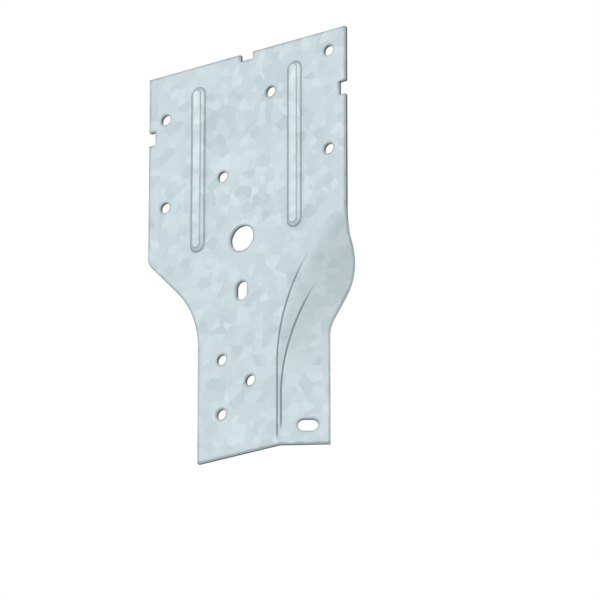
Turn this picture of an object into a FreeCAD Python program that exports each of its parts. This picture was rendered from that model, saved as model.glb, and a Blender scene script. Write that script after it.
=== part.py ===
import FreeCAD, Part
import math
import os
import Sketcher
from BOPTools import SplitAPI

# A stud plate tie: one stamped sheet with a wide flat head, two raised beads, three edge notches,
# and a narrower leg whose right part is folded back along a crease that curves out to the right.
# The origin is on the back face, on the head's centre line, half way up the height the head covers.
# X runs to the right, Y from the front face to the back and Z up. A rise is measured up from the
# origin, a drop down from it and an offset from the centre line, in millimetres. Angles are in degrees.
SIZES = {
    "sheet_thickness": 1.6,
    "head_width": 94.0,
    "head_rise": 38.1,
    "foot_drop": 134.4,
    "leg_left": 22.6,
    "leg_right": 33.2,
    # The fold: straight up from the foot, then along an arc to the right while its radius grows.
    "crease_offset": 14.9,
    "crease_drop": 100.0,
    "flare_drop": 113.0,
    "crease_radius": 74.0,
    "crease_sweep": 55.0,
    "bend_radius": 1.5,
    "flange_angle": 30.0,
    # Shoulders: a rounded corner, a slope from the vertical and a fillet into the leg.
    "left_shoulder_drop": 41.0,
    "left_corner_radius": 6.0,
    "left_slope": 42.0,
    "left_fillet_radius": 39.0,
    "right_shoulder_drop": 53.2,
    "right_corner_radius": 38.0,
    "right_slope": 31.0,
    "right_fillet_radius": 12.0,
    # Locating notches in the top edge and in both sides of the head.
    "notch_width": 5.8,
    "notch_depth": 3.0,
    "side_notch_rise": 11.4,
    # Fixing holes.
    "hole_diameter": 4.4,
    "hole_edge_gap": 8.0,
    "inner_hole_offset": 11.4,
    "top_hole_rise": 29.3,
    "upper_row_rise": 18.3,
    "lower_row_drop": 13.5,
    "bottom_hole_drop": 20.4,
    "leg_hole_drop": 92.6,
    "leg_hole_pitch": 11.6,
    "leg_hole_stagger": 13.5,
    # Sight hole, and two slots for fixings driven at a slant.
    "sight_hole_diameter": 10.8,
    "sight_hole_offset": 2.0,
    "sight_hole_drop": 42.4,
    "slot_width": 5.0,
    "slot_length": 8.0,
    "upper_slot_drop": 65.0,
    "flange_slot_edge_gap": 8.8,
    "flange_slot_foot_gap": 8.0,
    # Raised beads, hollow behind. The flank is measured from the direction they stand out in.
    "bead_offset": 23.0,
    "bead_width": 7.0,
    "bead_height": 1.6,
    "bead_flank": 45.0,
    "bead_top_rise": 28.7,
    "bead_bottom_drop": 43.8,
    "bead_root_radius": 0.8,
    "bead_crest_radius": 1.4,
    "bead_floor_radius": 0.8,
}

# Level sections that the sheet is drawn through, points that its right-hand edge is drawn through,
# and how many points apart the joints between that edge's faces are.
SECTION_COUNT = 25
EDGE_POINT_COUNT = 141
EDGE_BAND_STEP = 20
# Room that cuts and trimmed ends run past the sheet, and the length below which two places are one.
SPARE = 40.0
NEAR = 1e-4

doc = FreeCAD.newDocument("stud_plate_tie")
sheet = doc.addObject("Spreadsheet::Sheet", "sizes")
for row, (alias, number) in enumerate(SIZES.items(), start=1):
    sheet.set(f"A{row}", alias)
    sheet.set(f"B{row}", str(number))
    sheet.setAlias(f"B{row}", alias)
doc.recompute()


def size(alias):
    return float(sheet.get(alias))


def radians(alias):
    return math.radians(size(alias))


# The folded sheet


def crease_run(rise):
    """Sideways run of a crease line at a height above the point where it leaves the vertical."""
    radius = size("crease_radius")
    sweep = radians("crease_sweep")
    arc_rise = radius * math.sin(sweep)
    if rise <= 0:
        return 0.0
    if rise <= arc_rise:
        return radius - math.sqrt(radius**2 - rise**2)
    return radius * (1 - math.cos(sweep)) + (rise - arc_rise) * math.tan(sweep)


def fold_at(z):
    """Where the fold starts at a height, and the radius of its inside there."""
    near_run = crease_run(z + size("crease_drop"))
    far_run = crease_run(z + size("flare_drop"))
    inside = size("bend_radius") + (far_run - near_run) / math.sin(radians("flange_angle"))
    return size("crease_offset") + near_run, inside


def fold_point(start, inside, offset, angle):
    """A point on the fold's arc, offset from its inside towards the front."""
    radius = inside + offset
    return start + radius * math.sin(angle), inside - radius * math.cos(angle)


def sheet_section(z):
    """Level section of the sheet before its right-hand edge is cut: flat, fold and flange."""
    start, inside = fold_at(z)
    angle = radians("flange_angle")
    left = -size("head_width") / 2
    along = FreeCAD.Vector(math.cos(angle), math.sin(angle), 0) * SPARE

    def side(offset):
        first = FreeCAD.Vector(start, -offset, z)
        middle = FreeCAD.Vector(*fold_point(start, inside, offset, angle / 2), z)
        last = FreeCAD.Vector(*fold_point(start, inside, offset, angle), z)
        flat = Part.LineSegment(FreeCAD.Vector(left, -offset, z), first)
        flange = Part.LineSegment(last, last + along)
        return flat, Part.Arc(first, middle, last), flange

    front = side(size("sheet_thickness"))
    back = side(0.0)
    outer_end = Part.LineSegment(front[-1].EndPoint, back[-1].EndPoint)
    left_end = Part.LineSegment(back[0].StartPoint, front[0].StartPoint)
    curves = [*front, outer_end, *reversed(back), left_end]
    return Part.Wire([curve.toShape() for curve in curves])


def leg_edge(z):
    """Distance of the leg's right-hand edge from the centre line, for an edge straight on the flange."""
    angle = radians("flange_angle")

    def flange_start(height):
        return fold_point(*fold_at(height), size("sheet_thickness"), angle)

    foot_x, foot_y = flange_start(-size("foot_drop"))
    x, y = flange_start(z)
    along = (x - foot_x) * math.cos(angle) + (y - foot_y) * math.sin(angle)
    return x + size("leg_right") - foot_x - along * math.cos(angle)


def right_edge(z):
    """Distance of the front face's right-hand edge from the centre line at a height."""
    slope = radians("right_slope")
    corner = size("right_corner_radius")
    fillet = size("right_fillet_radius")
    top_x = size("head_width") / 2
    foot_x = leg_edge(z)
    straight = (top_x - foot_x - (corner + fillet) * (1 - math.cos(slope))) / math.sin(slope)
    corner_depth = corner * math.sin(slope)
    slope_depth = corner_depth + straight * math.cos(slope)
    foot_depth = slope_depth + fillet * math.sin(slope)
    depth = -size("right_shoulder_drop") - z
    if depth <= 0:
        return top_x
    if depth <= corner_depth:
        return top_x - corner + math.sqrt(corner**2 - depth**2)
    if depth <= slope_depth:
        return top_x - corner * (1 - math.cos(slope)) - (depth - corner_depth) * math.tan(slope)
    if depth <= foot_depth:
        return foot_x + fillet - math.sqrt(fillet**2 - (foot_depth - depth) ** 2)
    return foot_x


def edge_ruling(z):
    """Two points, before and behind the sheet, on the line square to it through its right-hand edge."""
    start, inside = fold_at(z)
    thickness = size("sheet_thickness")
    edge_x = right_edge(z)
    sine = (edge_x - start) / (inside + thickness)
    angle = math.asin(min(max(sine, 0.0), math.sin(radians("flange_angle"))))
    arc_x, arc_y = fold_point(start, inside, thickness, angle)
    beyond = max(edge_x - arc_x, 0.0)
    edge = FreeCAD.Vector(edge_x, arc_y + beyond * math.tan(angle), z)
    across = FreeCAD.Vector(-math.sin(angle), math.cos(angle), 0) * thickness
    return edge - across, edge + across * 2


def make_edge_bands():
    """The faces that the right-hand edge is cut along, ruled square to the sheet at every height."""
    heights = levels(EDGE_POINT_COUNT, size("sheet_thickness"))
    rails = []
    for points in zip(*[edge_ruling(z) for z in heights]):
        rail = Part.BSplineCurve()
        rail.interpolate(Points=list(points), Parameters=heights)
        rails.append(rail)
    joints = heights[::EDGE_BAND_STEP]
    return [
        Part.makeRuledSurface(*[rail.toShape(low, high) for rail in rails])
        for low, high in zip(joints, joints[1:])
    ]


def levels(count, past=0.0):
    """Evenly spaced heights from the foot to the top edge, or from past the one to past the other."""
    bottom = -size("foot_drop") - past
    top = size("head_rise") + past
    return [bottom + (top - bottom) * step / (count - 1) for step in range(count)]


def on_plane(face):
    """The same face, put on a plane where it is flat."""
    if not face.Surface.isPlanar(NEAR):
        return face
    low_u, high_u, low_v, high_v = face.ParameterRange
    normal = face.normalAt((low_u + high_u) / 2, (low_v + high_v) / 2)
    return Part.Face(Part.Plane(face.CenterOfMass, normal), face.OuterWire)


def make_folded_sheet():
    """The sheet with its fold, cut to length and along its right-hand edge."""
    loft = Part.makeLoft([sheet_section(z) for z in levels(SECTION_COUNT)], True)
    blank = Part.Solid(Part.Shell([on_plane(face) for face in loft.Faces]))
    pieces = SplitAPI.slice(blank, make_edge_bands(), "Split").Solids
    folded = doc.addObject("Part::Feature", "folded_sheet")
    folded.Shape = min(pieces, key=lambda piece: piece.BoundBox.XMin)
    folded.Placement = FreeCAD.Placement()
    return folded


body = doc.addObject("PartDesign::Body", "tie_plate")
body.Label = "tie_plate"
body.BaseFeature = make_folded_sheet()
body.Placement = FreeCAD.Placement()
doc.recompute()


# Sketches bound to the sheet


class Driven:
    """A number together with the expression that works it out from the sheet."""

    def __init__(self, value, expression):
        self.value = value
        self.expression = expression

    def combine(self, other, sign, work_out):
        if not isinstance(other, Driven):
            other = Driven(other, str(other))
        value = work_out(self.value, other.value)
        return Driven(value, f"({self.expression} {sign} {other.expression})")

    def __add__(self, other):
        return self.combine(other, "+", lambda a, b: a + b)

    def __sub__(self, other):
        return self.combine(other, "-", lambda a, b: a - b)

    def __mul__(self, other):
        return self.combine(other, "*", lambda a, b: a * b)

    def __truediv__(self, other):
        return self.combine(other, "/", lambda a, b: a / b)

    def __neg__(self):
        return Driven(-self.value, f"(-{self.expression})")


def driven(alias):
    return Driven(size(alias), f"sizes.{alias}")


def driven_sine(alias):
    return Driven(math.sin(radians(alias)), f"sin(sizes.{alias} * 1 deg)")


def driven_cosine(alias):
    return Driven(math.cos(radians(alias)), f"cos(sizes.{alias} * 1 deg)")


ORIGIN = (-1, 1)
START = 1
END = 2
CENTRE = 3


def new_sketch(name):
    """A sketch on the back face: its x runs along X, its y along Z and its normal to the front."""
    sketch = body.newObject("Sketcher::SketchObject", name)
    back_plane = next(plane for plane in body.Origin.OriginFeatures if plane.Role == "XZ_Plane")
    sketch.AttachmentSupport = [(back_plane, "")]
    sketch.MapMode = "FlatFace"
    return sketch


def place(x, z):
    return FreeCAD.Vector(x, z, 0)


def arc(x, z, radius, first_angle, last_angle):
    circle = Part.Circle(place(x, z), FreeCAD.Vector(0, 0, 1), radius)
    return Part.ArcOfCircle(circle, first_angle, last_angle)


def tie(sketch, kind, *references):
    return sketch.addConstraint(Sketcher.Constraint(kind, *references))


def bind(sketch, amount, kind, *references):
    """Adds a dimension and binds it to the sheet."""
    index = tie(sketch, kind, *references, amount.value)
    sketch.setExpression(f"Constraints[{index}]", amount.expression)


def bind_place(sketch, curve, end, x, z):
    bind(sketch, x, "DistanceX", *ORIGIN, curve, end)
    bind(sketch, z, "DistanceY", *ORIGIN, curve, end)


def draw_circle(sketch, x, z, diameter):
    outline = Part.Circle(place(x.value, z.value), FreeCAD.Vector(0, 0, 1), diameter.value / 2)
    circle = sketch.addGeometry(outline)
    bind_place(sketch, circle, CENTRE, x, z)
    bind(sketch, diameter, "Diameter", circle)


def draw_rectangle(sketch, left, right, bottom, top):
    corners = [(left, bottom), (right, bottom), (right, top), (left, top)]
    points = [place(x.value, z.value) for x, z in corners]
    sides = [
        sketch.addGeometry(Part.LineSegment(points[side], points[(side + 1) % 4])) for side in range(4)
    ]
    for side in range(4):
        tie(sketch, "Coincident", sides[side], END, sides[(side + 1) % 4], START)
        tie(sketch, "Horizontal" if side % 2 == 0 else "Vertical", sides[side])
    bind_place(sketch, sides[0], START, left, bottom)
    bind_place(sketch, sides[2], START, right, top)


def draw_slot(sketch, first, second, width):
    """A slot with round ends about two centres, each a pair of x and z."""
    (x1, z1), (x2, z2) = first, second
    radius = width.value / 2
    heading = math.atan2(z1.value - z2.value, x1.value - x2.value)
    quarter = math.pi / 2
    first_end = arc(x1.value, z1.value, radius, heading - quarter, heading + quarter)
    second_end = arc(x2.value, z2.value, radius, heading + quarter, heading + 3 * quarter)
    ends = [sketch.addGeometry(first_end), sketch.addGeometry(second_end)]
    sides = [
        sketch.addGeometry(Part.LineSegment(first_end.EndPoint, second_end.StartPoint)),
        sketch.addGeometry(Part.LineSegment(second_end.EndPoint, first_end.StartPoint)),
    ]
    for turn in range(2):
        tie(sketch, "Tangent", ends[turn], END, sides[turn], START)
        tie(sketch, "Tangent", sides[turn], END, ends[1 - turn], START)
    tie(sketch, "Equal", *ends)
    bind_place(sketch, ends[0], CENTRE, x1, z1)
    bind_place(sketch, ends[1], CENTRE, x2, z2)
    bind(sketch, width / 2, "Radius", ends[0])


def cut(name, sketch, **settings):
    """Pockets a sketch, through the whole sheet both ways unless set otherwise."""
    faces_before = len(body.Shape.Faces)
    pocket = body.newObject("PartDesign::Pocket", name)
    pocket.Profile = sketch
    pocket.Type = settings.get("kind", "ThroughAll")
    pocket.SideType = settings.get("sides", "Symmetric")
    pocket.Reversed = settings.get("to_front", False)
    for name_of_size, expression in settings.get("expressions", {}).items():
        pocket.setExpression(name_of_size, expression)
    doc.recompute()
    if len(body.Shape.Faces) <= faces_before:
        raise RuntimeError(f"{name} cuts nothing")
    return pocket


# The left-hand edge below the head


def cut_left_shoulder():
    sketch = new_sketch("left_shoulder_outline")
    half_head = driven("head_width") / 2
    side_x = -half_head
    leg_x = -driven("leg_left")
    top_z = -driven("left_shoulder_drop")
    foot_z = -driven("foot_drop") - SPARE
    outer_x = side_x - SPARE
    corner = size("left_corner_radius")
    fillet = size("left_fillet_radius")
    slope = radians("left_slope")
    inset = leg_x.value - side_x.value
    straight = (inset - (corner + fillet) * (1 - math.cos(slope))) / math.sin(slope)
    end_z = top_z.value - (corner + fillet) * math.sin(slope) - straight * math.cos(slope)
    corner_arc = arc(side_x.value + corner, top_z.value, corner, math.pi, math.pi + slope)
    fillet_arc = arc(leg_x.value - fillet, end_z, fillet, 0.0, slope)
    foot = place(leg_x.value, foot_z.value)
    outer_foot = place(outer_x.value, foot_z.value)
    outer_top = place(outer_x.value, top_z.value)
    curves = [
        corner_arc,
        Part.LineSegment(corner_arc.EndPoint, fillet_arc.EndPoint),
        fillet_arc,
        Part.LineSegment(fillet_arc.StartPoint, foot),
        Part.LineSegment(foot, outer_foot),
        Part.LineSegment(outer_foot, outer_top),
        Part.LineSegment(outer_top, corner_arc.StartPoint),
    ]
    turn, ramp, blend, leg, below, outside, level = [sketch.addGeometry(curve) for curve in curves]
    tie(sketch, "Tangent", turn, END, ramp, START)
    tie(sketch, "Tangent", ramp, END, blend, END)
    tie(sketch, "Tangent", blend, START, leg, START)
    tie(sketch, "Coincident", leg, END, below, START)
    tie(sketch, "Coincident", below, END, outside, START)
    tie(sketch, "Coincident", outside, END, level, START)
    tie(sketch, "Coincident", level, END, turn, START)
    tie(sketch, "Horizontal", turn, START, turn, CENTRE)
    tie(sketch, "Vertical", leg)
    tie(sketch, "Horizontal", below)
    tie(sketch, "Vertical", outside)
    tie(sketch, "Horizontal", level)
    bind_place(sketch, turn, START, side_x, top_z)
    bind_place(sketch, leg, END, leg_x, foot_z)
    bind(sketch, outer_x, "DistanceX", *ORIGIN, outside, START)
    bind(sketch, driven("left_corner_radius"), "Radius", turn)
    bind(sketch, driven("left_fillet_radius"), "Radius", blend)
    fall = Driven(slope - math.pi / 2, "(sizes.left_slope - 90) * 1 deg")
    bind(sketch, fall, "Angle", ramp)
    cut("left_shoulder", sketch)


# The beads: a raised outline with sloping flanks, and the hollow that the punch leaves behind it


def draw_beads(sketch, width):
    """Both beads' outlines, about the middles of the round ends of their front outline."""
    end_radius = driven("bead_width") / 2
    top_z = driven("bead_top_rise") - end_radius
    bottom_z = -driven("bead_bottom_drop") + end_radius
    for x in (-driven("bead_offset"), driven("bead_offset")):
        draw_slot(sketch, (x, top_z), (x, bottom_z), width)


def bead_edges(y, half_width):
    """Names of the edges of the beads' outlines at a depth, by the distance from a bead's centre line."""
    names = []
    for number, edge in enumerate(body.Shape.Edges, start=1):
        box = edge.BoundBox
        level = max(abs(box.YMin - y), abs(box.YMax - y)) < NEAR
        reaches = [abs(abs(x) - size("bead_offset")) for x in (box.XMin, box.XMax)]
        beside = all(abs(reach - half_width) < NEAR for reach in reaches)
        between = -size("bead_bottom_drop") - NEAR < box.ZMin and box.ZMax < size("bead_top_rise") + NEAR
        if level and beside and between:
            names.append(f"Edge{number}")
    return names


def round_bead_edges(name, y, half_width, radius):
    base = body.Tip
    fillet = body.newObject("PartDesign::Fillet", name)
    fillet.Base = (base, bead_edges(y, half_width))
    fillet.setExpression("Radius", radius.expression)
    doc.recompute()


def raise_beads():
    thickness = driven("sheet_thickness")
    height = driven("bead_height")
    outline = new_sketch("bead_outline")
    outline.setExpression("AttachmentOffset.Base.z", thickness.expression)
    draw_beads(outline, driven("bead_width"))
    bead = body.newObject("PartDesign::Pad", "beads")
    bead.Profile = outline
    bead.setExpression("Length", height.expression)
    bead.setExpression("TaperAngle", "-sizes.bead_flank * 1 deg")
    doc.recompute()
    # The hollow's flank runs one sheet thickness inside the bead's own.
    inset = thickness * (Driven(1, "1") - driven_sine("bead_flank")) / driven_cosine("bead_flank")
    hollow = new_sketch("bead_hollow_outline")
    draw_beads(hollow, driven("bead_width") - inset * 2)
    shape = {"Length": height.expression, "TaperAngle": "-sizes.bead_flank * 1 deg"}
    cut("bead_hollows", hollow, kind="Length", sides="One side", to_front=True, expressions=shape)
    front = -thickness.value
    root = size("bead_width") / 2
    mouth = root - inset.value
    narrowing = height.value * math.tan(radians("bead_flank"))
    root_radius = driven("bead_root_radius")
    round_bead_edges("bead_crests", front - height.value, root - narrowing, driven("bead_crest_radius"))
    round_bead_edges("bead_roots", front, root, root_radius)
    round_bead_edges("bead_hollow_floors", -height.value, mouth - narrowing, driven("bead_floor_radius"))
    round_bead_edges("bead_hollow_mouths", 0.0, mouth, root_radius + thickness)


# Notches, holes and slots


def cut_notches():
    sketch = new_sketch("notch_outlines")
    half_head = driven("head_width") / 2
    half_notch = driven("notch_width") / 2
    depth = driven("notch_depth")
    top = driven("head_rise")
    middle = driven("side_notch_rise")
    draw_rectangle(sketch, -half_notch, half_notch, top - depth, top + SPARE)
    draw_rectangle(sketch, -half_head - SPARE, -half_head + depth, middle - half_notch, middle + half_notch)
    draw_rectangle(sketch, half_head - depth, half_head + SPARE, middle - half_notch, middle + half_notch)
    cut("notches", sketch)


def cut_fixing_holes():
    sketch = new_sketch("fixing_hole_outlines")
    side = driven("head_width") / 2 - driven("hole_edge_gap")
    inner = driven("inner_hole_offset")
    leg_drop = driven("leg_hole_drop")
    pitch = driven("leg_hole_pitch")
    centres = [
        (side, driven("top_hole_rise")),
        (-side, driven("upper_row_rise")),
        (inner, driven("upper_row_rise")),
        (-inner, -driven("lower_row_drop")),
        (side, -driven("lower_row_drop")),
        (-side, -driven("bottom_hole_drop")),
        (-inner, -leg_drop),
        (-inner + driven("leg_hole_stagger"), -leg_drop - pitch),
        (-inner, -leg_drop - pitch * 2),
    ]
    for x, z in centres:
        draw_circle(sketch, x, z, driven("hole_diameter"))
    cut("fixing_holes", sketch)


def cut_sight_hole_and_upper_slot():
    sketch = new_sketch("sight_hole_outline")
    x = -driven("sight_hole_offset")
    draw_circle(sketch, x, -driven("sight_hole_drop"), driven("sight_hole_diameter"))
    half_run = (driven("slot_length") - driven("slot_width")) / 2
    middle = -driven("upper_slot_drop")
    draw_slot(sketch, (x, middle + half_run), (x, middle - half_run), driven("slot_width"))
    cut("sight_hole_and_upper_slot", sketch)


def cut_flange_slot():
    """Cuts the lower slot square to the flange, from a sketch turned with it about the crease."""
    sketch = new_sketch("flange_slot_outline")
    turned = FreeCAD.Rotation(FreeCAD.Vector(0, 1, 0), size("flange_angle"))
    sketch.AttachmentOffset = FreeCAD.Placement(place(size("crease_offset"), 0), turned)
    sketch.setExpression("AttachmentOffset.Base.x", "sizes.crease_offset")
    sketch.setExpression("AttachmentOffset.Rotation.Angle", "sizes.flange_angle * 1 deg")
    inside = driven("bend_radius")
    outside = inside + driven("sheet_thickness")
    cosine = driven_cosine("flange_angle")
    reach = (driven("leg_right") - driven("crease_offset")) / cosine
    edge = reach + (inside - outside / cosine) * driven_sine("flange_angle")
    half_run = (driven("slot_length") - driven("slot_width")) / 2
    middle = edge - driven("flange_slot_edge_gap")
    z = -driven("foot_drop") + driven("flange_slot_foot_gap")
    draw_slot(sketch, (middle + half_run, z), (middle - half_run, z), driven("slot_width"))
    cut("flange_slot", sketch)


cut_left_shoulder()
raise_beads()
cut_notches()
cut_fixing_holes()
cut_sight_hole_and_upper_slot()
cut_flange_slot()
doc.recompute()

failed = [item.Name for item in doc.Objects if {"Invalid", "Error"} & set(item.State)]
if failed:
    raise RuntimeError(f"these failed: {failed}")
if body.Shape.isNull() or not body.Shape.isValid() or len(body.Shape.Solids) != 1:
    raise RuntimeError("the tie is not one valid solid")
os.makedirs("parts", exist_ok=True)
body.Shape.exportStep(f"parts/{body.Label}.step")
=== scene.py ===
import math

import bmesh
import bpy
from bpy.props import FloatProperty, FloatVectorProperty, PointerProperty
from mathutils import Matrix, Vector


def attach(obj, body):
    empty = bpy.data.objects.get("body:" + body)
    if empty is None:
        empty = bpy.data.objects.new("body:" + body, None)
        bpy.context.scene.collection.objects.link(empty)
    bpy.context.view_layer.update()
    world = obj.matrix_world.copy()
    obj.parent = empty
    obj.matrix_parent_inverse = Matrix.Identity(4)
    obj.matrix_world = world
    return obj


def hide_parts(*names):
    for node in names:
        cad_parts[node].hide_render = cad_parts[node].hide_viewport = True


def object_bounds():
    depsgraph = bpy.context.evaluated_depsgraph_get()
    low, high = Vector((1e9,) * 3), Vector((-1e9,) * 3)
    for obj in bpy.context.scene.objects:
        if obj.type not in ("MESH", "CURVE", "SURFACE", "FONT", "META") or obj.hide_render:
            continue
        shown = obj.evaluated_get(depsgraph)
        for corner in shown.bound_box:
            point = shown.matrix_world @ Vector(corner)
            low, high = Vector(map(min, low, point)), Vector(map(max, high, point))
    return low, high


bl_info = {
    "name": "Stud plate tie",
    "version": (1, 0, 0),
    "blender": (4, 5, 0),
    "location": "3D View > Sidebar > Stud plate tie",
    "description": "Finishes the stamped sheet of a stud plate tie and sets up a studio round it",
    "category": "Object",
}

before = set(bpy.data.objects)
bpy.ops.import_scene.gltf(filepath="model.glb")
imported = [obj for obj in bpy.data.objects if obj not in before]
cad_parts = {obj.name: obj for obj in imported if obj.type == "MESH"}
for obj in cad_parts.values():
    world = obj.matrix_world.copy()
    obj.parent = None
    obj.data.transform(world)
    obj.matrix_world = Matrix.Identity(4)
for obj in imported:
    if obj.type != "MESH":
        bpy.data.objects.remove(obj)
CAD_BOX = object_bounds()
MM = 0.001
WHITE = (1.0, 1.0, 1.0, 1.0)

# Sockets of a Mix node set to colours, by place, because others of its sockets share their names.
MIX_FROM = 6
MIX_TO = 7
MIX_RESULT = 2


def linear(hex_colour):
    """An sRGB hex colour as linear red, green and blue."""
    channels = [int(hex_colour[place : place + 2], 16) / 255 for place in (1, 3, 5)]
    return tuple(c / 12.92 if c <= 0.04045 else ((c + 0.055) / 1.055) ** 2.4 for c in channels)


class StudTieFinish(bpy.types.PropertyGroup):
    """Sizes and colours of the sheet's finish."""

    corner_break: FloatProperty(
        name="Corner break",
        description="Width of the break that a worn die leaves on the corners of the outline",
        default=0.3 * MM,
        unit="LENGTH",
    )
    rollover: FloatProperty(
        name="Rollover",
        description="Radius to which the punch draws in the front edge of every cut",
        default=0.3 * MM,
        unit="LENGTH",
    )
    burr_break: FloatProperty(
        name="Burr break",
        description="Width of the break left on the back edge of every cut by deburring",
        default=0.12 * MM,
        unit="LENGTH",
    )
    rim_width: FloatProperty(
        name="Rim width",
        description="How far in from a cut edge the zinc has dulled",
        default=1.4 * MM,
        unit="LENGTH",
    )
    spangle_width: FloatProperty(
        name="Spangle width",
        description="Width of one zinc crystal",
        default=4.2 * MM,
        unit="LENGTH",
    )
    zinc_light: FloatVectorProperty(
        name="Light zinc",
        description="Colour of the spangle crystals that shine most",
        default=linear("#D0DDE1"),
        subtype="COLOR",
        min=0,
        max=1,
    )
    zinc_dark: FloatVectorProperty(
        name="Dark zinc",
        description="Colour of the spangle crystals that shine least",
        default=linear("#B8C6CB"),
        subtype="COLOR",
        min=0,
        max=1,
    )
    rubbed_zinc: FloatVectorProperty(
        name="Rubbed zinc",
        description="Colour of zinc that handling has polished, on the crests of the beads",
        default=linear("#DDE6E9"),
        subtype="COLOR",
        min=0,
        max=1,
    )
    # This colour is both the zinc worn dull beside cut edges and painted shade along the beads' roots and
    # round their crests.
    worn_and_shaded_zinc: FloatVectorProperty(
        name="Dulled zinc",
        description="Colour of zinc that has dulled, beside cut edges and along the beads",
        default=linear("#8E9BA1"),
        subtype="COLOR",
        min=0,
        max=1,
    )
    # Painted shade: dark lines along the two sides of the fold that stand in for the fold's shading.
    painted_fold_shade: FloatVectorProperty(
        name="Die mark",
        description="Colour of the lines that the bending die leaves along the fold",
        default=linear("#7C898F"),
        subtype="COLOR",
        min=0,
        max=1,
    )
    burnished_steel: FloatVectorProperty(
        name="Burnished steel",
        description="Colour of the smooth band that the punch leaves on a cut edge",
        default=linear("#A3ACB1"),
        subtype="COLOR",
        min=0,
        max=1,
    )
    torn_steel: FloatVectorProperty(
        name="Torn steel",
        description="Colour of the rough band where a cut edge broke away",
        default=linear("#666E73"),
        subtype="COLOR",
        min=0,
        max=1,
    )


class StudTieStudio(bpy.types.PropertyGroup):
    """The view, the floor and the lamps."""

    azimuth: FloatProperty(
        name="View azimuth",
        description="How far the camera stands round to the right of the front",
        default=math.radians(33.064),
        subtype="ANGLE",
    )
    elevation: FloatProperty(
        name="View elevation",
        description="How far the camera stands above the level of what it looks at",
        default=math.radians(-23.155),
        subtype="ANGLE",
    )
    distance: FloatProperty(
        name="Camera distance",
        description="From the camera to what it looks at",
        default=2.5,
        unit="LENGTH",
    )
    lens: FloatProperty(
        name="Lens",
        description="Focal length of the camera",
        default=378.65,
        unit="CAMERA",
    )
    aim: FloatVectorProperty(
        name="Aim",
        description="What the camera looks at",
        default=(13.09 * MM, 17.641 * MM, -65.871 * MM),
        subtype="XYZ",
        unit="LENGTH",
    )
    floor_drop: FloatProperty(
        name="Floor drop",
        description="From the origin down to the floor, below the lowest place a camera takes",
        default=2.6,
        unit="LENGTH",
    )
    floor_colour: FloatVectorProperty(
        name="Floor colour",
        description="Colour of the pale floor",
        default=linear("#F2F2F0"),
        subtype="COLOR",
        min=0,
        max=1,
    )
    key_power: FloatProperty(
        name="Key power",
        description="Power of the soft lamp in front on the right",
        default=3.0,
        unit="POWER",
    )
    fill_power: FloatProperty(
        name="Fill power",
        description="Power of the soft lamp in front on the left",
        default=2.6,
        unit="POWER",
    )
    back_power: FloatProperty(
        name="Back power",
        description="Power of the soft lamp behind",
        default=6.0,
        unit="POWER",
    )


def add_node(tree, kind, settings, inputs):
    """Adds a node, sets its own settings, and gives each input a value or a link from another socket."""
    node = tree.nodes.new(kind)
    for setting, value in settings.items():
        setattr(node, setting, value)
    for socket, value in inputs.items():
        if isinstance(value, bpy.types.NodeSocket):
            tree.links.new(value, node.inputs[socket])
        else:
            node.inputs[socket].default_value = value
    return node


def new_material(name):
    """An empty material and its node tree."""
    material = bpy.data.materials.new(name)
    material.use_nodes = True
    material.node_tree.nodes.clear()
    return material, material.node_tree


def opaque(colour):
    """A colour as a socket takes it, with an alpha of 1."""
    return (*colour, 1.0)


def layer_patterns(tree, start, patterns):
    """A number or a socket with patterns added to it, each by its share."""
    total = start
    for pattern, share in patterns:
        total = add_node(
            tree, "ShaderNodeMath", {"operation": "MULTIPLY_ADD"}, {0: pattern, 1: share, 2: total}
        ).outputs[0]
    return total


# The fold's two sides follow arcs of this radius. Each line along them has its offset from the middle at
# the foot, its drop to where it leaves the vertical, the heights between which it shows, and half its width.
CREASE_RADIUS = 74.0 * MM
# Lines of painted shade follow the fold's two sides.
FOLD_SHADE_LINES = (
    (14.9 * MM, 100.0 * MM, -133.4 * MM, -53.0 * MM, 0.6 * MM),
    (16.45 * MM, 113.0 * MM, -129.0 * MM, -66.0 * MM, 0.48 * MM),
)
# A line is darkest within this share of its half width, and it fades over these lengths at its ends.
LINE_CORE = 0.25
FOOT_FADE = 4 * MM
TOP_FADE = 14 * MM


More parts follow.
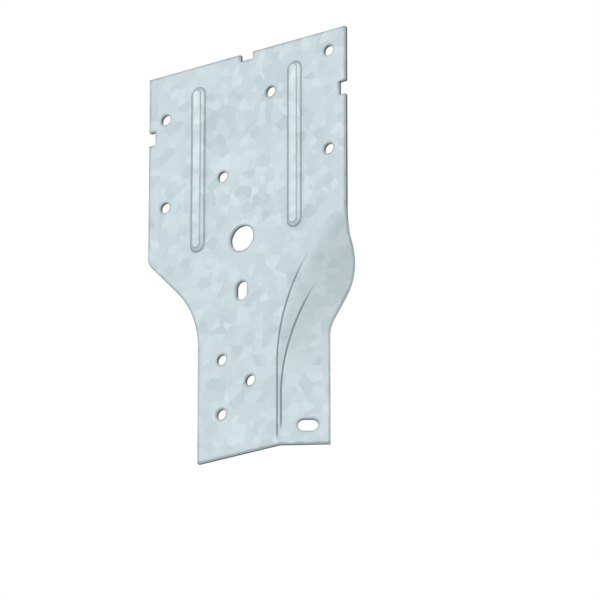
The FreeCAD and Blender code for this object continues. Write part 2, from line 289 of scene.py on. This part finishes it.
def fold_shade_line(tree, place, line):
    """1 on a painted shade line along the fold and 0 away from it, worked out from the arc that the line
    follows.
    """
    offset, drop, low, high, half_width = line
    apart = add_node(tree, "ShaderNodeSeparateXYZ", {}, {0: place})
    height = apart.outputs["Z"]
    rise = add_node(tree, "ShaderNodeMath", {"operation": "ADD"}, {0: height, 1: drop})
    on_arc = add_node(tree, "ShaderNodeMath", {"operation": "MAXIMUM"}, {0: rise.outputs[0], 1: 0.0})
    square = add_node(
        tree, "ShaderNodeMath", {"operation": "MULTIPLY"}, {0: on_arc.outputs[0], 1: on_arc.outputs[0]}
    )
    left_over = add_node(
        tree, "ShaderNodeMath", {"operation": "SUBTRACT"}, {0: CREASE_RADIUS**2, 1: square.outputs[0]}
    )
    reach = add_node(tree, "ShaderNodeMath", {"operation": "SQRT"}, {0: left_over.outputs[0]})
    across = add_node(
        tree, "ShaderNodeMath", {"operation": "ADD"}, {0: apart.outputs["X"], 1: reach.outputs[0]}
    )
    beside = add_node(
        tree, "ShaderNodeMath", {"operation": "SUBTRACT"}, {0: across.outputs[0], 1: offset + CREASE_RADIUS}
    )
    slant = add_node(tree, "ShaderNodeMath", {"operation": "DIVIDE"}, {0: reach.outputs[0], 1: CREASE_RADIUS})
    square_on = add_node(
        tree, "ShaderNodeMath", {"operation": "MULTIPLY"}, {0: beside.outputs[0], 1: slant.outputs[0]}
    )
    distance = add_node(tree, "ShaderNodeMath", {"operation": "ABSOLUTE"}, {0: square_on.outputs[0]})
    near, above, below = [
        add_node(
            tree,
            "ShaderNodeMapRange",
            {"interpolation_type": "SMOOTHSTEP"},
            {"Value": value, "From Min": start, "From Max": full},
        ).outputs[0]
        for value, start, full in (
            (distance.outputs[0], half_width, half_width * LINE_CORE),
            (height, low, low + FOOT_FADE),
            (height, high, high - TOP_FADE),
        )
    ]
    between = add_node(tree, "ShaderNodeMath", {"operation": "MULTIPLY"}, {0: above, 1: below})
    mark = add_node(tree, "ShaderNodeMath", {"operation": "MULTIPLY"}, {0: near, 1: between.outputs[0]})
    return mark.outputs[0]


# Crystals grow with ragged borders: how many waves a border has to a crystal's width, and the share of that
# width over which they swing it.
RAGGED_WAVES = 3
RAGGED_SWING = 0.35

# Taken from a colour with random channels, this centres it on zero.
HALF_COLOUR = (0.5, 0.5, 0.5)

# Ferns are the fine ridges in a crystal. Their headings are about 0.4 long, so this puts them about 1.5 mm
# apart, coarser than real ones so that they show.
FERN_PITCH = 0.6 * MM

# Streaks that the rolling mill leaves up the sheet and hair scratches, both drawn wide enough to show, the
# scratches' slant in radians, dull clouds where the bath cooled unevenly, and patches of wear.
STREAK_SIZE = (0.9 * MM, 0.9 * MM, 40 * MM)
SCRATCH_SIZE = (0.3 * MM, 0.3 * MM, 16 * MM)
SCRATCH_SLANT = 0.6
CLOUD_WIDTH = 30 * MM
PATCH_WIDTH = 6 * MM

# How high the scratches' noise is where one starts to show and where it is full.
SCRATCH_START = 0.69
SCRATCH_FULL = 0.78

# The zinc's tone goes from 0 where it is darkest to 1 where it is lightest: where it starts, and what each
# pattern adds to it.
TONE_START = -0.1
CRYSTAL_TONE = 0.45
CLOUD_TONE = 0.5
STREAK_TONE = 0.25

# Marks on the beads by depth, from the front of the sheet at -1.6 mm out to the crests at -3.2 mm: where each
# starts to show, where it is full, and how strong it is there.
RUBBED_CREST = (-2.75 * MM, -3.15 * MM, 1.0)
# The root and turn marks are painted shade: a darker band in each bead's root and a dark line round each
# crest.
ROOT_SHADE = (-1.62 * MM, -1.75 * MM, 0.7)
BELOW_CREST = (-2.4 * MM, -1.9 * MM, 1.0)
CREST_LINE_SHADE = (-3.19 * MM, -3.12 * MM, 0.6)
ABOVE_FLANK = (-2.88 * MM, -3.02 * MM, 1.0)

# How much a crest is rubbed, least and most, and how high the patches' noise is at each.
LEAST_RUB = 0.05
MOST_RUB = 0.35
RUB_START = 0.35
RUB_FULL = 0.65

# A dull rim goes by how solid the sheet is round a point, with a share of the patches' noise that makes it
# ragged: where it starts, where it is full, how strong it is there, that share, and how many rays are used.
RIM_START = 0.8
RIM_FULL = 0.4
RIM_STRENGTH = 0.75
RIM_RAGGED = -0.3
RIM_RAYS = 8

# The roughness of plain zinc, and what each pattern adds to it.
ZINC_ROUGHNESS = 0.36
CRYSTAL_ROUGHNESS = 0.1
STREAK_ROUGHNESS = 0.12
SCRATCH_ROUGHNESS = 0.14
RUB_ROUGHNESS = -0.16
DULL_ROUGHNESS = 0.16

# How far a fern's ridges rise from the mean, how strongly the relief shows, and how far other patterns rise
# as multiples of a ridge's rise.
FERN_HEIGHT = 0.012 * MM
RELIEF_STRENGTH = 0.4
CRYSTAL_STEP = 1.5
SCRATCH_DEPTH = -1.2
FOLD_LINE_DEPTH = -8.0


def galvanised_steel(finish):
    """Hot-dip galvanised sheet steel."""
    # To the eye it is dull pale blue-grey zinc in flat crystals that catch the light a little apart.
    material, tree = new_material("hot_dip_galvanised_steel")
    place = add_node(tree, "ShaderNodeTexCoord", {}, {}).outputs["Object"]
    ragged = add_node(
        tree,
        "ShaderNodeTexNoise",
        {},
        {"Vector": place, "Scale": RAGGED_WAVES / finish.spangle_width, "Detail": 3.0},
    )
    centred = add_node(
        tree, "ShaderNodeVectorMath", {"operation": "SUBTRACT"}, {0: ragged.outputs["Color"], 1: HALF_COLOUR}
    )
    pulled = add_node(
        tree,
        "ShaderNodeVectorMath",
        {"operation": "MULTIPLY_ADD"},
        {0: centred.outputs[0], 1: (finish.spangle_width * RAGGED_SWING,) * 3, 2: place},
    )
    crystals = add_node(
        tree, "ShaderNodeTexVoronoi", {}, {"Vector": pulled.outputs[0], "Scale": 1 / finish.spangle_width}
    )
    chance = add_node(tree, "ShaderNodeSeparateColor", {}, {"Color": crystals.outputs["Color"]})
    # The ferns run another way in each crystal.
    heading = add_node(
        tree,
        "ShaderNodeVectorMath",
        {"operation": "SUBTRACT"},
        {0: crystals.outputs["Color"], 1: HALF_COLOUR},
    )
    along = add_node(
        tree, "ShaderNodeVectorMath", {"operation": "DOT_PRODUCT"}, {0: place, 1: heading.outputs[0]}
    )
    phase = add_node(
        tree,
        "ShaderNodeMath",
        {"operation": "MULTIPLY"},
        {0: along.outputs["Value"], 1: 2 * math.pi / FERN_PITCH},
    )
    ferns = add_node(tree, "ShaderNodeMath", {"operation": "SINE"}, {0: phase.outputs[0]})
    stretched = add_node(
        tree,
        "ShaderNodeMapping",
        {},
        {"Vector": place, "Scale": tuple(1 / side for side in STREAK_SIZE)},
    )
    streaks = add_node(
        tree, "ShaderNodeTexNoise", {}, {"Vector": stretched.outputs[0], "Scale": 1.0, "Detail": 2.0}
    )
    slanted = add_node(
        tree,
        "ShaderNodeMapping",
        {"vector_type": "TEXTURE"},
        {"Vector": place, "Rotation": (0, SCRATCH_SLANT, 0), "Scale": SCRATCH_SIZE},
    )
    hairs = add_node(
        tree, "ShaderNodeTexNoise", {}, {"Vector": slanted.outputs[0], "Scale": 1.0, "Detail": 1.0}
    )
    scratches = add_node(
        tree,
        "ShaderNodeMapRange",
        {"interpolation_type": "SMOOTHSTEP"},
        {"Value": hairs.outputs["Fac"], "From Min": SCRATCH_START, "From Max": SCRATCH_FULL},
    )
    clouds = add_node(
        tree, "ShaderNodeTexNoise", {}, {"Vector": place, "Scale": 1 / CLOUD_WIDTH, "Detail": 3.0}
    )
    tone = layer_patterns(
        tree,
        TONE_START,
        (
            (chance.outputs["Red"], CRYSTAL_TONE),
            (clouds.outputs["Fac"], CLOUD_TONE),
            (streaks.outputs["Fac"], STREAK_TONE),
        ),
    )
    zinc = add_node(
        tree,
        "ShaderNodeMix",
        {"data_type": "RGBA", "clamp_factor": True},
        {"Factor": tone, MIX_FROM: opaque(finish.zinc_dark), MIX_TO: opaque(finish.zinc_light)},
    )
    depth = add_node(tree, "ShaderNodeSeparateXYZ", {}, {0: place})
    crest, beside_root, below_crest, off_crest, above_flank = [
        add_node(
            tree,
            "ShaderNodeMapRange",
            {"interpolation_type": "SMOOTHSTEP"},
            {"Value": depth.outputs["Y"], "From Min": start, "From Max": full, "To Max": strength},
        ).outputs[0]
        for start, full, strength in (RUBBED_CREST, ROOT_SHADE, BELOW_CREST, CREST_LINE_SHADE, ABOVE_FLANK)
    ]
    # Handling rubs the crests of the beads a little brighter, in patches.
    patches = add_node(
        tree, "ShaderNodeTexNoise", {}, {"Vector": place, "Scale": 1 / PATCH_WIDTH, "Detail": 4.0}
    )
    patchy = add_node(
        tree,
        "ShaderNodeMapRange",
        {},
        {
            "Value": patches.outputs["Fac"],
            "From Min": RUB_START,
            "From Max": RUB_FULL,
            "To Min": LEAST_RUB,
            "To Max": MOST_RUB,
        },
    )
    rubbed = add_node(
        tree, "ShaderNodeMath", {"operation": "MULTIPLY"}, {0: crest, 1: patchy.outputs[0]}
    ).outputs[0]
    bright = add_node(
        tree,
        "ShaderNodeMix",
        {"data_type": "RGBA"},
        {"Factor": rubbed, MIX_FROM: zinc.outputs[MIX_RESULT], MIX_TO: opaque(finish.rubbed_zinc)},
    )
    # Zinc dulls first beside a cut edge. Within reach, the sheet is solid all round well inside, and about
    # half so at an edge.
    solid = add_node(
        tree,
        "ShaderNodeAmbientOcclusion",
        {"samples": RIM_RAYS, "inside": True, "only_local": True},
        {"Distance": finish.rim_width},
    )
    ragged_rim = add_node(
        tree,
        "ShaderNodeMath",
        {"operation": "MULTIPLY_ADD"},
        {0: patches.outputs["Fac"], 1: RIM_RAGGED, 2: solid.outputs["AO"]},
    )
    dull_rim = add_node(
        tree,
        "ShaderNodeMapRange",
        {"interpolation_type": "SMOOTHSTEP"},
        {
            "Value": ragged_rim.outputs[0],
            "From Min": RIM_START,
            "From Max": RIM_FULL,
            "To Max": RIM_STRENGTH,
        },
    )
    # The colour also darkens along the roots of the beads and in a fine line round each crest. This is
    # painted shade that makes the beads' form read.
    painted_root_shade = add_node(tree, "ShaderNodeMath", {"operation": "MULTIPLY"}, {0: beside_root, 1: below_crest})
    painted_crest_line = add_node(tree, "ShaderNodeMath", {"operation": "MULTIPLY"}, {0: off_crest, 1: above_flank})
    painted_bead_shade = add_node(
        tree, "ShaderNodeMath", {"operation": "MAXIMUM"}, {0: painted_crest_line.outputs[0], 1: painted_root_shade.outputs[0]}
    )
    # This joins the dull rim worn in beside cut edges with the painted shade on the beads. It darkens the
    # colour and roughens the zinc.
    wear_and_bead_shade = add_node(
        tree, "ShaderNodeMath", {"operation": "MAXIMUM"}, {0: dull_rim.outputs[0], 1: painted_bead_shade.outputs[0]}
    ).outputs[0]
    zinc_with_wear_and_shade = add_node(
        tree,
        "ShaderNodeMix",
        {"data_type": "RGBA"},
        {"Factor": wear_and_bead_shade, MIX_FROM: bright.outputs[MIX_RESULT], MIX_TO: opaque(finish.worn_and_shaded_zinc)},
    )
    # Painted shade: dark lines along the fold's two sides, over a shallow groove in the relief.
    near_line, far_line = [fold_shade_line(tree, place, line) for line in FOLD_SHADE_LINES]
    lines = add_node(tree, "ShaderNodeMath", {"operation": "MAXIMUM"}, {0: near_line, 1: far_line}).outputs[0]
    colour = add_node(
        tree,
        "ShaderNodeMix",
        {"data_type": "RGBA"},
        {"Factor": lines, MIX_FROM: zinc_with_wear_and_shade.outputs[MIX_RESULT], MIX_TO: opaque(finish.painted_fold_shade)},
    )
    roughness = layer_patterns(
        tree,
        ZINC_ROUGHNESS,
        (
            (chance.outputs["Green"], CRYSTAL_ROUGHNESS),
            (streaks.outputs["Fac"], STREAK_ROUGHNESS),
            (scratches.outputs[0], SCRATCH_ROUGHNESS),
            (rubbed, RUB_ROUGHNESS),
            (wear_and_bead_shade, DULL_ROUGHNESS),
        ),
    )
    relief = layer_patterns(
        tree,
        ferns.outputs[0],
        (
            (chance.outputs["Blue"], CRYSTAL_STEP),
            (scratches.outputs[0], SCRATCH_DEPTH),
            (lines, FOLD_LINE_DEPTH),
        ),
    )
    bump = add_node(
        tree,
        "ShaderNodeBump",
        {},
        {"Strength": RELIEF_STRENGTH, "Distance": FERN_HEIGHT, "Height": relief},
    )
    shader = add_node(
        tree,
        "ShaderNodeBsdfPrincipled",
        {},
        {
            "Base Color": colour.outputs[MIX_RESULT],
            "Metallic": 1.0,
            "Roughness": roughness,
            "Normal": bump.outputs[0],
        },
    )
    add_node(tree, "ShaderNodeOutputMaterial", {}, {"Surface": shader.outputs[0]})
    return material


# Across a cut edge from 0 in front to 1 at the back, and shifted by the border's noise: where the torn band
# starts and where it is full. The border wanders by about a tenth of the thickness, in waves of this width.
TORN_START = 0.42
TORN_FULL = 0.56
BORDER_SHIFT = 0.3
BORDER_WAVE = 2 * MM

# The torn band's grain, drawn coarse enough to show, and the roughness of both bands.
GRAIN_WIDTH = 0.25 * MM
GRAIN_HEIGHT = 0.05 * MM
GRAIN_STRENGTH = 0.5
BURNISHED_ROUGHNESS = 0.28
TORN_ROUGHNESS = 0.62


def sheared_steel(finish):
    """The bare steel of a sheared edge."""
    # To the eye it is smooth and bright where the punch burnished it, and dark and torn where it broke away.
    material, tree = new_material("sheared_steel_edge")
    place = add_node(tree, "ShaderNodeTexCoord", {}, {}).outputs["Object"]
    across = add_node(tree, "ShaderNodeAttribute", {"attribute_name": "across_sheet"}, {}).outputs["Fac"]
    wander = add_node(
        tree, "ShaderNodeTexNoise", {}, {"Vector": place, "Scale": 1 / BORDER_WAVE, "Detail": 3.0}
    )
    shifted = add_node(
        tree,
        "ShaderNodeMath",
        {"operation": "MULTIPLY_ADD"},
        {0: wander.outputs["Fac"], 1: BORDER_SHIFT, 2: across},
    )
    torn = add_node(
        tree,
        "ShaderNodeMapRange",
        {"interpolation_type": "SMOOTHSTEP"},
        {"Value": shifted.outputs[0], "From Min": TORN_START, "From Max": TORN_FULL},
    ).outputs[0]
    colour = add_node(
        tree,
        "ShaderNodeMix",
        {"data_type": "RGBA"},
        {"Factor": torn, MIX_FROM: opaque(finish.burnished_steel), MIX_TO: opaque(finish.torn_steel)},
    )
    roughness = add_node(
        tree,
        "ShaderNodeMapRange",
        {},
        {"Value": torn, "To Min": BURNISHED_ROUGHNESS, "To Max": TORN_ROUGHNESS},
    )
    grain = add_node(
        tree, "ShaderNodeTexNoise", {}, {"Vector": place, "Scale": 1 / GRAIN_WIDTH, "Detail": 4.0}
    )
    height = add_node(tree, "ShaderNodeMath", {"operation": "MULTIPLY"}, {0: grain.outputs["Fac"], 1: torn})
    bump = add_node(
        tree,
        "ShaderNodeBump",
        {},
        {"Strength": GRAIN_STRENGTH, "Distance": GRAIN_HEIGHT, "Height": height.outputs[0]},
    )
    shader = add_node(
        tree,
        "ShaderNodeBsdfPrincipled",
        {},
        {
            "Base Color": colour.outputs[MIX_RESULT],
            "Metallic": 1.0,
            "Roughness": roughness.outputs[0],
            "Normal": bump.outputs[0],
        },
    )
    add_node(tree, "ShaderNodeOutputMaterial", {}, {"Surface": shader.outputs[0]})
    return material


# Slots of the sheet's two materials.
ZINC_SLOT = 0
EDGE_SLOT = 1

# The sheet faces the front along -Y. Faces whose normals have more than the first share of Y are its two
# broad sides, and those with more than the second are its flats.
BROAD_SIDE = 0.6
FLAT_SIDE = 0.999999

# Edges that turn more than this come from a cut. Those along the fold and on the beads turn less.
CUT_TURN = math.radians(40)

# Points closer than this are merged, and flat faces that turn less than this are joined.
MERGE_REACH = 0.002 * MM
JOIN_TURN = math.radians(0.1)

# A bevel needs this much of a cut edge on each side of a point. One that turns less than this is straight.
BEVEL_ROOM = 1 * MM
STRAIGHT_TURN = math.radians(0.01)

# Faces of a bevel whose normals lie between these shares of Y are bare. The others are the rollover in front
# or lie nearly in the back of the sheet, and carry zinc.
BARE_START = -0.2
BARE_END = 0.8

# How many faces round off a cut edge, and the turn past which an edge stays sharp to the eye.
BEVEL_STEPS = 3
SMOOTH_TURN = math.radians(32)


def is_broad(face):
    return abs(face.normal.y) > BROAD_SIDE


def is_flat(face):
    return abs(face.normal.y) > FLAT_SIDE


def is_cut(edge):
    return len(edge.link_faces) == 2 and edge.calc_face_angle() > CUT_TURN


def select_faces(sheet, wanted):
    """Selects the faces that pass a test, in edit mode."""
    bpy.ops.mesh.select_mode(type="FACE")
    bpy.ops.mesh.select_all(action="DESELECT")
    mesh = bmesh.from_edit_mesh(sheet.data)
    mesh.normal_update()
    for face in mesh.faces:
        face.select_set(wanted(face))
    bmesh.update_edit_mesh(sheet.data)


def spread_split_points(sheet):
    """Moves a point that splits a straight cut edge close to one end to its middle, so the bevel has room."""
    mesh = bmesh.from_edit_mesh(sheet.data)
    mesh.normal_update()
    for point in mesh.verts:
        cuts = [edge for edge in point.link_edges if is_cut(edge)]
        if len(cuts) == 2 and min(edge.calc_length() for edge in cuts) < BEVEL_ROOM:
            start, end = [edge.other_vert(point).co for edge in cuts]
            if (point.co - start).angle(end - point.co) < STRAIGHT_TURN:
                point.co = (start + end) / 2
    bmesh.update_edit_mesh(sheet.data)


def mark_sheet(sheet, finish):
    """Weighs each cut edge for its bevel, and gives each point a number and its place across the sheet."""
    mesh = bmesh.from_edit_mesh(sheet.data)
    mesh.normal_update()
    weight = mesh.edges.layers.float.new("bevel_weight_edge")
    across = mesh.verts.layers.float.new("across_sheet")
    number = mesh.verts.layers.int.new("number")
    for face in mesh.faces:
        face.material_index = ZINC_SLOT if is_broad(face) else EDGE_SLOT
    for point in mesh.verts:
        point[number] = point.index
        point[across] = 1.0 if any(face.normal.y > BROAD_SIDE for face in point.link_faces) else 0.0
    for edge in filter(is_cut, mesh.edges):
        sides = [face.normal.y for face in edge.link_faces]
        if min(sides) < -BROAD_SIDE:
            edge[weight] = 1.0
        elif max(sides) > BROAD_SIDE:
            edge[weight] = finish.burr_break / finish.rollover
        else:
            edge[weight] = finish.corner_break / finish.rollover
    bmesh.update_edit_mesh(sheet.data)


def coat_rollover(sheet):
    """Draws the zinc in over the front edges, whose faces come from one or two points before the bevel."""
    mesh = bmesh.new()
    mesh.from_mesh(sheet.data)
    number = mesh.verts.layers.int["number"]
    for face in mesh.faces:
        if len({point[number] for point in face.verts}) < 3:
            bare = BARE_START < face.normal.y < BARE_END
            face.material_index = EDGE_SLOT if bare else ZINC_SLOT
    mesh.verts.layers.int.remove(number)
    mesh.to_mesh(sheet.data)
    mesh.free()


class OBJECT_OT_stud_tie_sheet(bpy.types.Operator):
    """Finish the stamped sheet: break its edges as the die leaves them and give it its zinc"""

    bl_idname = "object.stud_tie_sheet"
    bl_label = "Stamped sheet"

    def execute(self, context):
        finish = context.scene.stud_tie_finish
        bpy.ops.object.select_all(action="DESELECT")
        sheet = bpy.data.objects.new("stamped_sheet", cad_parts["tie_plate"].data.copy())
        context.scene.collection.objects.link(sheet)
        context.view_layer.objects.active = sheet
        sheet.select_set(True)
        sheet.data.materials.clear()
        sheet.data.materials.append(galvanised_steel(finish))
        sheet.data.materials.append(sheared_steel(finish))
        bpy.ops.object.mode_set(mode="EDIT")
        bpy.ops.mesh.select_all(action="SELECT")
        bpy.ops.mesh.remove_doubles(threshold=MERGE_REACH)
        select_faces(sheet, is_flat)
        bpy.ops.mesh.dissolve_limited(angle_limit=JOIN_TURN)
        spread_split_points(sheet)
        mark_sheet(sheet, finish)
        bpy.ops.object.mode_set(mode="OBJECT")
        edges = sheet.modifiers.new("cut_edges", "BEVEL")
        edges.limit_method = "WEIGHT"
        edges.width = finish.rollover
        edges.segments = BEVEL_STEPS
        edges.loop_slide = False
        bpy.ops.object.modifier_apply(modifier=edges.name)
        coat_rollover(sheet)
        bpy.ops.object.shade_smooth_by_angle(angle=SMOOTH_TURN)
        even = sheet.modifiers.new("even_shading", "WEIGHTED_NORMAL")
        even.keep_sharp = True
        bpy.ops.object.modifier_apply(modifier=even.name)
        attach(sheet, "root")
        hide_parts("tie_plate")
        return {"FINISHED"}


# Each lamp's place from the middle of the tie and the width of its soft box, in metres.
KEY_PLACE = Vector((1.3, -1.35, 0.95))
KEY_WIDTH = 1.0
FILL_PLACE = Vector((-1.3, -1.6, 0.9))
FILL_WIDTH = 1.4
BACK_PLACE = Vector((-0.6, 1.9, 1.2))
BACK_WIDTH = 1.4

# How strongly the air lights things, where 1 is the white behind them.
AIR_LIGHT = 0.7

# The floor's width in metres, and the width of the camera's sensor in millimetres.
FLOOR_WIDTH = 30
SENSOR_WIDTH = 36


def seen_directly(tree, ray):
    """1 for rays from the camera, from a gloss or through glass, and 0 for the others."""
    mirrored = add_node(
        tree,
        "ShaderNodeMath",
        {"operation": "MAXIMUM"},
        {0: ray.outputs["Is Camera Ray"], 1: ray.outputs["Is Glossy Ray"]},
    )
    seen = add_node(
        tree,
        "ShaderNodeMath",
        {"operation": "MAXIMUM"},
        {0: mirrored.outputs[0], 1: ray.outputs["Is Transmission Ray"]},
    )
    return seen.outputs[0]


def pale_floor(studio):
    """Matt paint on the studio floor."""
    # To the eye it is plain white with no gloss, and it is white in reflections too.
    material, tree = new_material("matt_floor_paint")
    ray = add_node(tree, "ShaderNodeLightPath", {}, {})
    seen = seen_directly(tree, ray)
    paint = add_node(tree, "ShaderNodeBsdfDiffuse", {}, {"Color": opaque(studio.floor_colour)})
    white = add_node(tree, "ShaderNodeEmission", {}, {"Color": WHITE, "Strength": 1.0})
    shown = add_node(tree, "ShaderNodeMixShader", {}, {0: seen, 1: paint.outputs[0], 2: white.outputs[0]})
    add_node(tree, "ShaderNodeOutputMaterial", {}, {"Surface": shown.outputs[0]})
    return material


def add_world(scene):
    """White behind the tie and in its reflections, and a softer light on everything else."""
    world = bpy.data.worlds.new("studio_air")
    scene.world = world
    world.use_nodes = True
    tree = world.node_tree
    tree.nodes.clear()
    ray = add_node(tree, "ShaderNodeLightPath", {}, {})
    strength = add_node(
        tree,
        "ShaderNodeMapRange",
        {},
        {"Value": seen_directly(tree, ray), "To Min": AIR_LIGHT, "To Max": 1.0},
    )
    air = add_node(tree, "ShaderNodeBackground", {}, {"Color": WHITE, "Strength": strength.outputs[0]})
    add_node(tree, "ShaderNodeOutputWorld", {}, {"Surface": air.outputs[0]})


def turn_to(thing, target):
    """Turns a lamp or the camera to a point."""
    thing.rotation_mode = "QUATERNION"
    thing.rotation_quaternion = (Vector(target) - thing.location).to_track_quat("-Z", "Y")


def add_lamp(name, place, width, power, target):
    """A square soft box that the camera doesn't see."""
    bpy.ops.object.light_add(type="AREA", location=place)
    lamp = bpy.context.object
    lamp.name = name
    lamp.data.shape = "SQUARE"
    lamp.data.size = width
    lamp.data.energy = power
    lamp.visible_camera = False
    turn_to(lamp, target)


class SCENE_OT_stud_tie_stage(bpy.types.Operator):
    """Set up the floor, the lamps and the camera"""

    bl_idname = "scene.stud_tie_stage"
    bl_label = "Stage"

    def execute(self, context):
        studio = context.scene.stud_tie_studio
        bpy.ops.object.select_all(action="DESELECT")
        bpy.ops.mesh.primitive_plane_add(size=FLOOR_WIDTH, location=(0, 0, -studio.floor_drop))
        floor = context.object
        floor.name = "studio_floor"
        floor.data.materials.append(pale_floor(studio))
        add_world(context.scene)
        middle = (CAD_BOX[0] + CAD_BOX[1]) / 2
        add_lamp("key_lamp", middle + KEY_PLACE, KEY_WIDTH, studio.key_power, middle)
        add_lamp("fill_lamp", middle + FILL_PLACE, FILL_WIDTH, studio.fill_power, middle)
        add_lamp("back_lamp", middle + BACK_PLACE, BACK_WIDTH, studio.back_power, middle)
        bpy.ops.object.camera_add()
        camera = context.object
        camera.name = "studio_camera"
        level = math.cos(studio.elevation)
        back = Vector(
            (
                math.sin(studio.azimuth) * level,
                -math.cos(studio.azimuth) * level,
                math.sin(studio.elevation),
            )
        )
        camera.location = Vector(studio.aim) + back * studio.distance
        turn_to(camera, studio.aim)
        camera.data.lens = studio.lens
        camera.data.sensor_width = SENSOR_WIDTH
        context.scene.camera = camera
        context.scene.view_settings.view_transform = "Standard"
        return {"FINISHED"}


class VIEW3D_PT_stud_tie(bpy.types.Panel):
    """Lists the tie's piece and its stage"""

    bl_label = "Stud plate tie"
    bl_idname = "VIEW3D_PT_stud_tie"
    bl_space_type = "VIEW_3D"
    bl_region_type = "UI"
    bl_category = "Stud plate tie"

    def draw(self, context):
        for operator, group in (
            (OBJECT_OT_stud_tie_sheet, context.scene.stud_tie_finish),
            (SCENE_OT_stud_tie_stage, context.scene.stud_tie_studio),
        ):
            column = self.layout.column()
            for name in group.__annotations__:
                column.prop(group, name)
            column.operator(operator.bl_idname)


CLASSES = (
    StudTieFinish,
    StudTieStudio,
    OBJECT_OT_stud_tie_sheet,
    SCENE_OT_stud_tie_stage,
    VIEW3D_PT_stud_tie,
)


def register():
    for cls in CLASSES:
        bpy.utils.register_class(cls)
    bpy.types.Scene.stud_tie_finish = PointerProperty(type=StudTieFinish)
    bpy.types.Scene.stud_tie_studio = PointerProperty(type=StudTieStudio)


def unregister():
    del bpy.types.Scene.stud_tie_studio
    del bpy.types.Scene.stud_tie_finish
    for cls in reversed(CLASSES):
        bpy.utils.unregister_class(cls)


def main():
    register()
    bpy.ops.object.stud_tie_sheet()
    bpy.ops.scene.stud_tie_stage()


if __name__ == "__main__":
    main()
